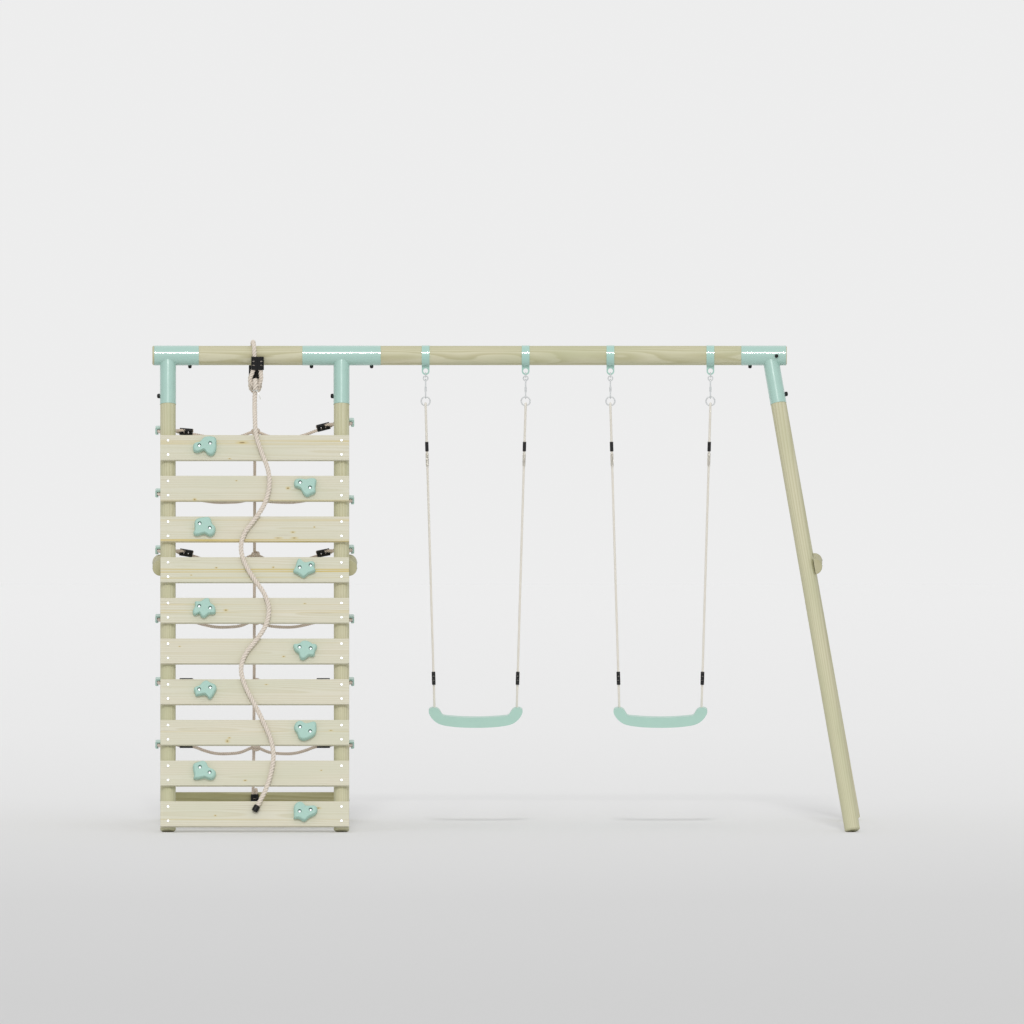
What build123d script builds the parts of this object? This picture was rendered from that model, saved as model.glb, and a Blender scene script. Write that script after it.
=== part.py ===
from build123d import *
import os
from math import asin, cos, pi, radians, sin, tan

# Garden play frame: a round beam on three A-frames, a board climbing wall with a
# climbing rope on the front of the left bay, a rope net behind it, and two swings.
# Millimetres. X runs along the beam, +Y to the rear, Z up from the ground.
# The origin is on the ground at the middle of the footprint.

# ---- driving dimensions -------------------------------------------------------
BEAM_Z = 2444
BEAM_Y = 28
BEAM_R = 50
BEAM_X = (-1841, 1452)
LEG_R = 40
TILT = 17
LEG_TOP = 150
LEG_END = 2549.7
LEG_CHAMFER = 6
LEFT_X = -1759.6
MIDDLE_X = -859.1
RIGHT_X = 1364.8
RIGHT_LEAN = 0.1758
RIGHT_LEG_END = 2584

TUBE_WALL = 2
TUBE_R = BEAM_R + TUBE_WALL
SLEEVE_R = LEG_R + TUBE_WALL
FIT = 0.2
SLEEVE_END = 263
BRACKETS = {
    "left_bracket": ((-1831, -1600), LEFT_X, 0),
    "middle_bracket": ((-1062, -656), MIDDLE_X, 0),
    "right_bracket": ((1216, 1448), RIGHT_X, RIGHT_LEAN),
}
SLEEVE_SCREW_AT = 220
BEAM_SCREW_XS = (-1646, -1015, -703, 1261)
SCREW_SHANK_R = 5
SCREW_HEAD_R = 7
SCREW_HEAD_H = 6
SCREW_IN_WOOD = 45
CAP_R = 9.5
CAP_H = 15

BRACE_R = 40
BRACE_LENGTH = 750
BRACE_Z = 1355
CROSSBAR_AT = 2444.8
CROSSBAR_R = 40

BOARD_COUNT = 10
BOARD_LENGTH = 979.5
BOARD_WIDTH = 134
BOARD_THICK = 28
BOARD_PITCH = 218.2
FIRST_BOARD_AT = 511.1
BOARD_ROUND = 2.5
WALL_X = -1309.35
BOARD_FRONT = LEG_R + BOARD_THICK
BOARD_SCREW_SPREAD = 38.3
WOOD_SCREW_HEAD_R = 6.5
WOOD_SCREW_R = 3
WOOD_SCREW_LENGTH = 70

HOLD_HEIGHT = 38
HOLD_XS = (-1569, -1048)
HOLD_DROP = 9
HOLD_BOLT_HALF = 29
HOLD_RECESS_R = 10
HOLD_RECESS_DEPTH = 17
HOLD_BOLT_R = 5
HOLD_BOLT_HEAD_R = 8.5

SWINGS = {"swing_1": -163, "swing_2": 796}
STRAP_HALF_SPAN = 259.5
SEAT_ROPE_HALF_SPAN = 213.5
STRAP_WIDTH = 40
STRAP_THICK = 3
LUG_HOLE_Z = 2364
LUG_HOLE_R = 13
LUG_BOTTOM_Z = 2342.7
LUG_THICK = 5
PIVOT_Z = 2346.9
LINK_WIRE_R = 2.5
LINK_R = 8
LINK_BOTTOM_Z = 2339.5
SMALL_RING_Z = 2325.5
SMALL_RING_R = 12
SMALL_RING_WIRE_R = 3
HOOK_TOP_Z = 2320
HOOK_BOTTOM_Z = 2222.6
HOOK_WIRE_R = 3.5
BIG_RING_Z = 2206.6
BIG_RING_R = 23
BIG_RING_WIRE_R = 3.5
SWING_ROPE_D = 12
SEAT_BOTTOM_Z = 513.6
SEAT_DEPTH = 180
SEAT_WALL = 5
SEAT_HORN_TOP = 102.5

NET_ROPE_D = 16
LOOP_R = LEG_R + NET_ROPE_D / 2 + 1.8
ROW_LEFT = (412, 757, 1070, 1448, 1795, 2140)
ROW_RIGHT = (369, 795, 1067, 1450, 1795, 2140)
ROW_MIDDLE = (412, 778, 1089, 1452, 1788, 2146)
ROW_LOW = (449, 804, 1135, 1490, 1840, 2186)
ROW_TILT_LEFT = (5, 10, 10, 3, 0, 0)
ROW_TILT_RIGHT = (15, -8, 12, 3, 0, 0)
CLAMP_START = 60
CLAMP_LENGTH = 68
STRAND_HALF_GAP = 9.5
SLING_D = 24
CLIMB_ROPE_D = 26

SIN, COS = sin(radians(TILT)), cos(radians(TILT))
UPWARD = (Align.CENTER, Align.CENTER, Align.MIN)
FRONT, REAR = -1, 1


# ---- places and helpers -------------------------------------------------------
def slope(side, x, down, out):
    """Point on the front or rear slope: down it from the beam's axis, out from the legs' axes."""
    y = BEAM_Y + side * (down * SIN + out * COS)
    return Vector(x, y, BEAM_Z - down * COS + out * SIN)


def slope_plane(side, x, down, out):
    """Plane facing out of the slope, its x along the beam."""
    normal = Vector(0, side * COS, SIN)
    return Plane(origin=slope(side, x, down, out), x_dir=(1, 0, 0), z_dir=normal)


def rod(start, end, radius):
    """Solid cylinder between two points."""
    axis = Vector(end) - Vector(start)
    return Plane(origin=start, z_dir=axis) * Cylinder(radius, axis.length, align=UPWARD)


def leg_direction(side, lean):
    """Unit vector down a leg."""
    return Vector(lean, side * tan(radians(TILT)), -1).normalized()


def turn_radius(before, corner, after):
    """Radius of the arc at a corner of a cord's route, from its two runs and its turn."""
    turn = radians((corner - before).get_angle(after - corner))
    shorter = min((corner - before).length, (after - corner).length)
    return 0.45 * shorter / tan(turn / 2)


def cord(name, points, diameter):
    """Cord of straight runs joined by tangent arcs. It prints its radii and its volume."""
    route = [Vector(*point) for point in points]
    radii = [turn_radius(*route[i:i + 3]) for i in range(len(route) - 2)]
    path = FilletPolyline(*route, radius=radii)
    section = Plane(origin=path @ 0, z_dir=path % 0) * Circle(diameter / 2)
    tube = sweep(section, path=path)
    expected = pi * diameter ** 2 / 4 * path.length
    print(f"{name}: length {path.length:.0f} least radius {min(radii):.0f}", end=" ")
    print(f"volume over section x length {tube.volume / expected:.4f}")
    return tube


def save(name, shape):
    export_step(shape, f"parts/{name}.step")


def group(pieces):
    """Identical pieces kept as separate solids in one node."""
    return Compound(children=[solid for piece in pieces for solid in piece.solids()])


# ---- fasteners ----------------------------------------------------------------
def coach_screw(place, outward):
    """Hexagon-headed coach screw; place is where its head sits, outward its way out."""
    plane = Plane(origin=place, z_dir=outward)
    shank = Pos(0, 0, -SCREW_IN_WOOD) * Cylinder(SCREW_SHANK_R, SCREW_IN_WOOD, align=UPWARD)
    head = extrude(RegularPolygon(SCREW_HEAD_R, 6), SCREW_HEAD_H)
    return plane * (shank + head)


def screw_cap(place, outward):
    """Domed cap that covers a coach screw's head."""
    dome = Cylinder(CAP_R, CAP_H, align=UPWARD)
    dome = fillet(dome.edges().sort_by(Axis.Z)[-1], CAP_R - 1.5)
    recess = extrude(RegularPolygon(SCREW_HEAD_R, 6), SCREW_HEAD_H)
    return Plane(origin=place, z_dir=outward) * (dome - recess)


def wood_screw(place, outward, length=WOOD_SCREW_LENGTH):
    """Countersunk screw whose head stands slightly proud of the wood."""
    head = Cylinder(WOOD_SCREW_HEAD_R, 2.5, align=UPWARD)
    head = fillet(head.edges().sort_by(Axis.Z)[-1], 1)
    sink = Pos(0, 0, -4) * Cone(WOOD_SCREW_R, WOOD_SCREW_HEAD_R, 4, align=UPWARD)
    shank = Pos(0, 0, -length) * Cylinder(WOOD_SCREW_R, length - 4, align=UPWARD)
    slot = Pos(0, 0, 2.5) * Box(2, 7, 2.4) + Pos(0, 0, 2.5) * Box(7, 2, 2.4)
    return Plane(origin=place, z_dir=outward) * (head + sink + shank - slot)


def coach_screw_places():
    """Head place and outward direction of every coach screw."""
    places = []
    for x in BEAM_SCREW_XS:
        places.append((Vector(x, BEAM_Y, BEAM_Z - TUBE_R), Vector(0, 0, -1)))
    for axis_x, lean, outward in ((LEFT_X, 0, -1), (MIDDLE_X, 0, -1), (RIGHT_X, RIGHT_LEAN, 1)):
        for side in (FRONT, REAR):
            direction = leg_direction(side, lean)
            sideways = Vector(outward, 0, 0)
            sideways = (sideways - direction * direction.dot(sideways)).normalized()
            centre = Vector(axis_x, BEAM_Y, BEAM_Z) + direction * SLEEVE_SCREW_AT
            places.append((centre + sideways * SLEEVE_R, sideways))
    places.append((Vector(RIGHT_X + 34, BEAM_Y - TUBE_R, BEAM_Z), Vector(0, -1, 0)))
    return places


def brace_screw_places():
    """Screws from each brace's rounded back into the two legs it crosses."""
    places = []
    for axis_x, lean, outward in ((LEFT_X, 0, -1), (MIDDLE_X, 0, 1), (RIGHT_X, RIGHT_LEAN, 1)):
        reach = (BEAM_Z - BRACE_Z) * tan(radians(TILT))
        touch, out = brace_line(axis_x, lean, outward)
        for side in (FRONT, REAR):
            place = touch + Vector(0, BEAM_Y + side * reach, 0) + out * BRACE_R
            places.append((place, out))
    return places


def crossbar_screw_places():
    """Screws through the rear legs into the crossbar's ends."""
    places = []
    for axis_x, outward in ((LEFT_X, -1), (MIDDLE_X, 1)):
        place = slope(REAR, axis_x + outward * LEG_R, CROSSBAR_AT, 0)
        places.append((place, Vector(outward, 0, 0)))
    return places


def board_screw_places(index):
    """Four screws of one board, two over each front leg."""
    centre = FIRST_BOARD_AT + index * BOARD_PITCH
    outward = Vector(0, -COS, SIN)
    return [
        (slope(FRONT, x, centre + drop, BOARD_FRONT), outward)
        for x in (LEFT_X, MIDDLE_X)
        for drop in (-BOARD_SCREW_SPREAD, BOARD_SCREW_SPREAD)
    ]


# ---- timber -------------------------------------------------------------------
def top_beam(screws):
    length = BEAM_X[1] - BEAM_X[0]
    log = Rot(0, 90, 0) * Cylinder(BEAM_R, length)
    log = chamfer(log.edges().filter_by(GeomType.CIRCLE), 5)
    log = Pos(sum(BEAM_X) / 2, BEAM_Y, BEAM_Z) * log
    return log - screws


def leg(side, axis_x, lean, end):
    """Round leg cut square at both ends, with its lowest edge trimmed flat to the ground."""
    log = Cylinder(LEG_R, end - LEG_TOP, align=UPWARD)
    log = chamfer(log.edges().filter_by(GeomType.CIRCLE), LEG_CHAMFER)
    direction = leg_direction(side, lean)
    start = Vector(axis_x, BEAM_Y, BEAM_Z) + direction * LEG_TOP
    log = Plane(origin=start, z_dir=direction) * log
    ground = Pos(start.X, start.Y, 0) * Box(3000, 3000, 400, align=(Align.CENTER, Align.CENTER, Align.MAX))
    return log - ground


def brace_line(axis_x, lean, outward):
    """A point on the line of a brace's flat back, and the direction it faces."""
    out = Vector(outward, 0, outward * lean).normalized()
    x = axis_x + (BEAM_Z - BRACE_Z) * lean
    return Vector(x, 0, BRACE_Z) + out * LEG_R, out


def brace(axis_x, lean, outward):
    """Half-round log across the outside of an A-frame."""
    touch, out = brace_line(axis_x, lean, outward)
    log = Cylinder(BRACE_R, BRACE_LENGTH)
    log = chamfer(log.edges().filter_by(GeomType.CIRCLE), 3)
    log = split(log, Plane.YZ, keep=Keep.TOP)
    return Plane(origin=(touch.X, BEAM_Y, touch.Z), x_dir=out, z_dir=(0, 1, 0)) * log


def rear_crossbar(legs):
    left = slope(REAR, LEFT_X, CROSSBAR_AT, 0)
    right = slope(REAR, MIDDLE_X, CROSSBAR_AT, 0)
    bar = rod(left, right, CROSSBAR_R)
    for timber in legs:
        bar = bar - timber
    middle = sorted(bar.solids(), key=lambda solid: solid.volume)[-1]
    return middle


def board(index, screws):
    body = Box(BOARD_LENGTH, BOARD_WIDTH, BOARD_THICK)
    body = fillet(body.edges(), BOARD_ROUND)
    centre = FIRST_BOARD_AT + index * BOARD_PITCH
    return slope_plane(FRONT, WALL_X, centre, LEG_R + BOARD_THICK / 2) * body - screws


# ---- brackets -----------------------------------------------------------------
def bracket(span, axis_x, lean, screws):
    """Steel tube round the beam with a socket for each leg."""
    beam_line = Vector(axis_x, BEAM_Y, BEAM_Z)
    ends = [Vector(x, BEAM_Y, BEAM_Z) for x in span]
    tube = rod(*ends, TUBE_R)
    bore = rod(ends[0] - Vector(10, 0, 0), ends[1] + Vector(10, 0, 0), BEAM_R + FIT)
    sockets = [leg_direction(side, lean) for side in (FRONT, REAR)]
    outside = [rod(beam_line, beam_line + way * SLEEVE_END, SLEEVE_R) for way in sockets]
    inside = [rod(beam_line, beam_line + way * (SLEEVE_END + 10), LEG_R + FIT) for way in sockets]
    body = outside[0] + outside[1] - inside[0] - inside[1] - tube
    return tube - bore + body - screws


# ---- climbing holds -----------------------------------------------------------
# Outlines in the plane of the wall: across, up, about the middle of the two bolts.
HOLD_OUTLINES = (
    ((-61, -12), (-52, 8), (-27, 16), (-4, 39), (12, 44), (59, 33), (61, 14),
     (55, -38), (39, -55), (16, -49), (-4, -27), (-29, -37), (-55, -35)),
    ((-58, 7), (-48, 33), (-31, 37), (2, 33), (37, 39), (56, 34), (54, -7), (52, -38),
     (33, -48), (10, -58), (-6, -48), (-22, -21), (-40, -9), (-56, -3)),
    ((-58, -31), (-53, 5), (-49, 32), (-30, 43), (1, 49), (24, 47), (35, 27), (40, 11),
     (54, -3), (56, -20), (47, -43), (26, -52), (3, -40), (-26, -45), (-55, -44)),
    ((-30, 43), (-21, 37), (-11, 27), (16, 25), (43, 28), (51, 17), (47, 1), (54, -17), (39, -30),
     (16, -39), (-8, -56), (-27, -46), (-45, -35), (-61, -26), (-54, -5), (-43, 29)),
    ((-62, -28), (-60, -10), (-51, 8), (-51, 31), (-25, 32), (0, 48), (21, 49), (30, 26),
     (49, 11), (56, -8), (54, -30), (23, -34), (0, -52), (-19, -46), (-29, -30), (-54, -39)),
    ((-60, 2), (-58, 21), (-34, 24), (-17, 37), (5, 40), (24, 34), (40, 23), (60, 18),
     (61, 3), (52, -17), (47, -39), (20, -41), (5, -53), (-13, -61), (-26, -54), (-33, -29)),
    ((-53, -16), (-52, 8), (-30, 17), (-8, 39), (11, 45), (28, 35), (58, 18), (62, 3),
     (53, -20), (40, -42), (27, -53), (16, -42), (3, -30), (-21, -32), (-48, -34)),
    ((-57, 6), (-55, 26), (-41, 43), (-18, 45), (-2, 35), (29, 39), (54, 41), (59, 20),
     (49, -29), (25, -45), (-12, -56), (-32, -45), (-42, -20)),
    ((-58, -41), (-59, -3), (-57, 35), (-37, 44), (-5, 50), (9, 39), (18, 18), (35, 8),
     (57, -8), (56, -31), (41, -47), (22, -47), (0, -39), (-29, -45)),
    ((-60, -36), (-59, -12), (-55, 32), (-39, 47), (-16, 47), (1, 30), (27, 28), (58, 24),
     (64, 6), (57, -13), (37, -26), (18, -36), (-4, -53), (-21, -47), (-37, -39)),
)
HOLD_BOLT_TURNS = (12, -29, -24.5, 11, -10, -7, 10, -24, -29.5, 8)
HOLD_LAYERS = ((0, 0.985), (10, 1.0), (24, 0.98), (33, 0.925), (HOLD_HEIGHT, 0.81))


def hold_place(index):
    down = FIRST_BOARD_AT + index * BOARD_PITCH - HOLD_DROP
    return slope_plane(FRONT, HOLD_XS[index % 2], down, BOARD_FRONT)


def hold_bolt_offsets(index):
    """The two bolts' places in the plane of the hold."""
    turn = radians(HOLD_BOLT_TURNS[index])
    along = (HOLD_BOLT_HALF * cos(turn), HOLD_BOLT_HALF * sin(turn))
    return (along, (-along[0], -along[1]))


def climbing_hold(index):
    """Moulded hold with rounded shoulders and two recessed bolt holes."""
    outline = make_face(Wire([Spline(*HOLD_OUTLINES[index], periodic=True).edge()]))
    body = loft([Pos(0, 0, height) * scale(outline, by=size) for height, size in HOLD_LAYERS])
    for x, y in hold_bolt_offsets(index):
        recess_floor = HOLD_HEIGHT - HOLD_RECESS_DEPTH
        body -= Pos(x, y, recess_floor) * Cylinder(HOLD_RECESS_R, 40, align=UPWARD)
        body -= Pos(x, y, 0) * Cylinder(HOLD_BOLT_R, 60)
    return hold_place(index) * body


def hold_bolt(index, offset):
    """Dome-headed bolt through hold and board, with its flanged nut behind the board."""
    recess_floor = HOLD_HEIGHT - HOLD_RECESS_DEPTH
    head = Pos(0, 0, recess_floor) * Cylinder(HOLD_BOLT_HEAD_R, 6, align=UPWARD)
    head = fillet(head.edges().sort_by(Axis.Z)[-1], 4)
    socket = Pos(0, 0, recess_floor + 3) * extrude(RegularPolygon(3.5, 6), 10)
    shank = Pos(0, 0, -BOARD_THICK - 8) * Cylinder(HOLD_BOLT_R, BOARD_THICK + 8 + recess_floor, align=UPWARD)
    nut = Pos(0, 0, -BOARD_THICK - 2) * Cylinder(12, 2, align=UPWARD)
    return hold_place(index) * Pos(*offset, 0) * (head + shank + nut - socket)


# ---- net behind the wall ------------------------------------------------------
def wrap_corners():
    """Corners of a rope's loop round a leg, across and out, from its front to its back."""
    reach = LOOP_R / cos(radians(36))
    return [(-reach * cos(radians(a)), reach * sin(radians(a))) for a in (-108, -36, 36, 108)]


def row_end(side_x, inward, down, tilt, strand):
    """One strand of a row through its clamp, from the inner end to the leg: across, down, out."""
    drop = sin(radians(tilt))
    reach = (CLAMP_START + CLAMP_LENGTH + 4, CLAMP_START - 2)
    return [
        (side_x + inward * r, down + r * drop + strand * STRAND_HALF_GAP, 0) for r in reach
    ]


def row_loop(side_x, inward, down, entering):
    """The rope's way round a leg; it enters at the upper or the lower strand."""
    corners = wrap_corners()
    points = []
    for i, (across, out) in enumerate(corners):
        step = entering * STRAND_HALF_GAP * (1 - 2 * (i + 0.5) / len(corners))
        points.append((side_x + inward * across, down + step, -out * entering))
    return points


def row_points(row):
    """Whole route of one row: dead end, left loop, sag, knot, sag, right loop, dead end."""
    left, right = ROW_LEFT[row], ROW_RIGHT[row]
    low, middle = ROW_LOW[row], ROW_MIDDLE[row]
    front = upright_out(middle) - NET_ROPE_D - 2
    left_in = row_end(LEFT_X, 1, left, ROW_TILT_LEFT[row], -1)
    left_out = row_end(LEFT_X, 1, left, ROW_TILT_LEFT[row], 1)[::-1]
    right_in = row_end(MIDDLE_X, -1, right, ROW_TILT_RIGHT[row], 1)
    right_out = row_end(MIDDLE_X, -1, right, ROW_TILT_RIGHT[row], -1)[::-1]
    left_end, right_end = left_out[-1][1], right_in[0][1]
    span = [
        (LEFT_X + 185, left_end + 0.62 * (low - left_end), 0.15 * front),
        (LEFT_X + 250, low + 2, 0.35 * front),
        (LEFT_X + 318, low - 1, 0.55 * front),
        (LEFT_X + 378, low - 0.24 * (low - middle), 0.8 * front),
        (WALL_X - 16, middle - 1, front),
        (WALL_X + 16, middle - 1, front),
        (MIDDLE_X - 378, low - 0.24 * (low - middle), 0.8 * front),
        (MIDDLE_X - 318, low - 1, 0.55 * front),
        (MIDDLE_X - 250, low + 2, 0.35 * front),
        (MIDDLE_X - 185, right_end + 0.62 * (low - right_end), 0.15 * front),
    ]
    route = left_in + row_loop(LEFT_X, 1, left, -1) + left_out + span
    route += right_in + row_loop(MIDDLE_X, -1, right, 1) + right_out
    return [slope(REAR, *point) for point in route]


def clamp_body(length, width, thick, windows):
    """Double clamp lying along x: two rounded barrels and a web, windows on both faces."""
    body = Box(length, width, thick)
    body = fillet(body.edges().filter_by(Axis.X), thick / 2 - 1)
    body = fillet(body.faces().sort_by(Axis.X)[-1].edges(), 2)
    body = fillet(body.faces().sort_by(Axis.X)[0].edges(), 2)
    groove = Pos(0, 0, thick / 2) * Box(length + 2, 4, 3) + Pos(0, 0, -thick / 2) * Box(length + 2, 4, 3)
    body -= groove
    for x, y in windows:
        body -= Pos(x, y, 0) * extrude(SlotOverall(13, 6, rotation=90), thick, both=True)
    return body


def row_clamp(side_x, inward, down, tilt):
    middle = CLAMP_START + CLAMP_LENGTH / 2
    plane = slope_plane(REAR, side_x + inward * middle, down + middle * sin(radians(tilt)), 0)
    body = clamp_body(CLAMP_LENGTH, 38, 23, ((-12, 0), (12, 0)))
    return plane * Rot(0, 0, inward * tilt) * body


def row_clip(side_x, outward, down):
    """Saddle that holds a row's loop on the outside of a leg."""
    reach = LEG_R + 26
    block = Box(reach - 20, 38, 34)
    block = Pos((reach + 20) / 2, -1, 0) * fillet(block.edges().filter_by(Axis.Z), 6)
    channel = Pos(LOOP_R - 2.5, 0.5, 0) * Box(22.6, 24, 40)
    mouth = Pos(LOOP_R - 7, 14, 0) * Box(14, 30, 40)
    log = Rot(90, 0, 0) * Cylinder(LEG_R, 200)
    body = block - channel - mouth - log
    body = sorted(body.solids(), key=lambda solid: solid.volume)[-1]
    if outward < 0:
        body = mirror(body, Plane.YZ)
    return slope_plane(REAR, side_x, down, 0) * body


# ---- slings, upright rope and climbing rope -----------------------------------
EYE_X = WALL_X + 3
SLING_BARREL_X = (WALL_X - 1.4, WALL_X + 30.6)
REAR_BARREL_X = (-1323, -1292)
SLING_Y = BEAM_R + SLING_D / 2 + 2
EYE_Z = 2296
REAR_EYE_Z = 2262
CROSSBAR_Y = BEAM_Y + CROSSBAR_AT * SIN
CROSSBAR_Z = BEAM_Z - CROSSBAR_AT * COS
CROSSBAR_LOOP_R = CROSSBAR_R + NET_ROPE_D / 2 + 4
CROSSBAR_BARREL_X = (WALL_X - 9.5, WALL_X + 9.5)


def beam_sling_points():
    """Rope laid over the beam, with an eye in front of it and one behind."""
    front, rear = BEAM_Y - SLING_Y, BEAM_Y + SLING_Y
    left, right = SLING_BARREL_X
    rear_main, rear_dead = REAR_BARREL_X
    return [
        (right, front, 2438), (right, front, 2362), (right + 4, front, 2320),
        (right - 14, front, EYE_Z - 6), (left - 10, front, EYE_Z - 6), (left - 28, front, 2322),
        (left - 8, front, 2362), (left, front, 2410),
        (left - 1, front, BEAM_Z + 42), (left - 5, BEAM_Y - 32, BEAM_Z + 70),
        (left - 9, BEAM_Y + 32, BEAM_Z + 70), (rear_main + 1, rear, BEAM_Z + 42),
        (rear_main, rear, 2380), (rear_main - 3, rear, 2322),
        (rear_main - 12, rear, 2290), (rear_main - 2, rear, REAR_EYE_Z - 6),
        (rear_dead + 2, rear, REAR_EYE_Z - 6), (rear_dead + 12, rear, 2290),
        (rear_dead + 3, rear, 2322), (rear_dead, rear, 2395),
    ]


UPRIGHT_TOP = (BEAM_Y + SLING_Y + 22, REAR_EYE_Z - 120)
UPRIGHT_BOTTOM = (CROSSBAR_Y - CROSSBAR_LOOP_R - 18, CROSSBAR_Z + 175)


def upright_out(down):
    """How far the upright rope stands out from the rear legs' plane, at a distance down it."""
    ends = []
    for y, z in (UPRIGHT_TOP, UPRIGHT_BOTTOM):
        ends.append(((BEAM_Z - z) * COS + (y - BEAM_Y) * SIN, (y - BEAM_Y) * COS - (BEAM_Z - z) * SIN))
    (top_down, top_out), (bottom_down, bottom_out) = ends
    share = (down - top_down) / (bottom_down - top_down)
    return top_out + share * (bottom_out - top_out)


def upright_points():
    """Upright rope: tail, eye through the rear sling, long run, loop round the crossbar."""
    y, z = BEAM_Y + SLING_Y, REAR_EYE_Z
    main_x, dead_x = CROSSBAR_BARREL_X
    ring = CROSSBAR_LOOP_R / cos(radians(36))
    loop = [(a, ring * cos(radians(a)), ring * sin(radians(a))) for a in (216, 288, 360, 432)]
    front = CROSSBAR_Y - CROSSBAR_LOOP_R
    points = [
        (WALL_X, y - 13, z - 40), (WALL_X, y - 22, z - 12),
        (WALL_X, y - 17, z + 20), (WALL_X, y + 17, z + 20), (WALL_X, y + 22, z - 14),
        (WALL_X, y + 9, z - 60), (WALL_X + 0.5, *UPRIGHT_TOP),
        (main_x + 5, *UPRIGHT_BOTTOM), (main_x, front - 1, CROSSBAR_Z + 72),
    ]
    for i, (_, along, up) in enumerate(loop):
        points.append((main_x + (dead_x - main_x) * (i + 0.5) / 4.5, CROSSBAR_Y + along, CROSSBAR_Z + up))
    points += [(dead_x, front + 2, CROSSBAR_Z + CROSSBAR_LOOP_R * 0.8), (dead_x, front, CROSSBAR_Z - 28)]
    return points


# Climbing rope on the wall: across from its own line, down the slope.
CLIMB_WAVES = (
    (4, 453), (40, 555), (72, 635), (79, 727), (53, 823), (-2, 904), (-57, 973), (-77, 1059),
    (-48, 1150), (1, 1228), (53, 1300), (78, 1381), (61, 1472), (6, 1553), (-53, 1622),
    (-77, 1708), (-48, 1805), (1, 1896), (45, 1987), (87, 2084), (101, 2175), (81, 2282),
    (48, 2378), (2, 2458),
)
CLIMB_OUT = BOARD_FRONT + CLIMB_ROPE_D / 2 + 4


def climbing_rope_points():
    """Climbing rope: tail, eye through the front sling, down to the wall, waves over it."""
    y, z = BEAM_Y - SLING_Y, EYE_Z
    head = [
        (EYE_X, y + 16, z - 42), (EYE_X, y + 28, z - 14),
        (EYE_X, y + 22, z + 21), (EYE_X, y - 22, z + 21), (EYE_X, y - 31, z - 8),
        (EYE_X - 3, y - 22, z - 58), (WALL_X, y - 60, z - 128),
    ]
    tops = [slope(FRONT, WALL_X + 1, 352, CLIMB_OUT + 4)]
    waves = [slope(FRONT, WALL_X + across, down, CLIMB_OUT) for across, down in CLIMB_WAVES]
    return head + tops + waves


def climbing_rope_end_cap():
    """Rubber cap on the climbing rope's end."""
    end, before = climbing_rope_points()[-1], climbing_rope_points()[-2]
    way = (end - before).normalized()
    cap = Pos(0, 0, -24) * Cylinder(16.5, 33, align=UPWARD)
    cap = fillet(cap.edges(), 4)
    cap -= Pos(0, 0, -30) * Cylinder(CLIMB_ROPE_D / 2, 30, align=UPWARD)
    return Plane(origin=end, z_dir=way) * cap


def sling_clamp(middle_x, middle_y, middle_z, length):
    """Large upright double clamp of the beam sling."""
    body = clamp_body(length, 66, 29, ((-10, -21), (-10, 21), (11, -21), (11, 21)))
    return Pos(middle_x, middle_y, middle_z) * Rot(90, 0, 0) * Rot(0, 0, 90) * body


def rope_clamps():
    pieces = [
        row_clamp(x, inward, downs[row], tilts[row])
        for row in range(len(ROW_LEFT))
        for x, inward, downs, tilts in (
            (LEFT_X, 1, ROW_LEFT, ROW_TILT_LEFT), (MIDDLE_X, -1, ROW_RIGHT, ROW_TILT_RIGHT))
    ]
    pieces.append(sling_clamp(sum(SLING_BARREL_X) / 2, BEAM_Y - SLING_Y - 1, 2406, 69))
    pieces.append(sling_clamp(sum(REAR_BARREL_X) / 2, BEAM_Y + SLING_Y + 1, 2356, 69))
    lower = clamp_body(CLAMP_LENGTH, 42, 22, ((-12, 0), (12, 0)))
    place = Pos(WALL_X, CROSSBAR_Y - CROSSBAR_LOOP_R, CROSSBAR_Z - 3)
    pieces.append(place * Rot(90, 0, 0) * Rot(0, 0, 90) * lower)
    return group(pieces)


# ---- swings -------------------------------------------------------------------
def hanger_strap(x):
    """Steel band round the beam, its two ends meeting in a lug with a large hole."""
    half = STRAP_WIDTH / 2
    band = rod((x - half, BEAM_Y, BEAM_Z), (x + half, BEAM_Y, BEAM_Z), BEAM_R + STRAP_THICK)
    radius = STRAP_WIDTH / 2
    lug_centre = LUG_BOTTOM_Z + radius
    plate = Box(STRAP_WIDTH, LUG_THICK, BEAM_Z - lug_centre, align=UPWARD)
    plate += Rot(90, 0, 0) * Cylinder(radius, LUG_THICK)
    hole = Pos(0, 0, LUG_HOLE_Z - lug_centre) * Rot(90, 0, 0) * Cylinder(LUG_HOLE_R, 20)
    strap = band + Pos(x, BEAM_Y, lug_centre) * (plate - hole)
    return strap - rod((x - 50, BEAM_Y, BEAM_Z), (x + 50, BEAM_Y, BEAM_Z), BEAM_R)


def hanger(x):
    """Link, small ring, long hook and big ring under one strap."""
    link = wire_loop(PIVOT_Z, LINK_BOTTOM_Z, LINK_R, LINK_R, LINK_WIRE_R)
    small = Pos(0, 0, SMALL_RING_Z) * Rot(90, 0, 0) * Torus(SMALL_RING_R, SMALL_RING_WIRE_R)
    hook = wire_loop(HOOK_TOP_Z - LINK_R, HOOK_BOTTOM_Z + 14, LINK_R, 14, HOOK_WIRE_R)
    nut = Pos(0, 11.6, 2268) * Rot(1.5, 0, 0) * Cylinder(5.5, 24)
    big = Pos(0, 0, BIG_RING_Z) * Rot(90, 0, 0) * Torus(BIG_RING_R, BIG_RING_WIRE_R)
    return Pos(x, BEAM_Y, 0) * Compound(children=[link, small, hook + nut, big])


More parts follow.
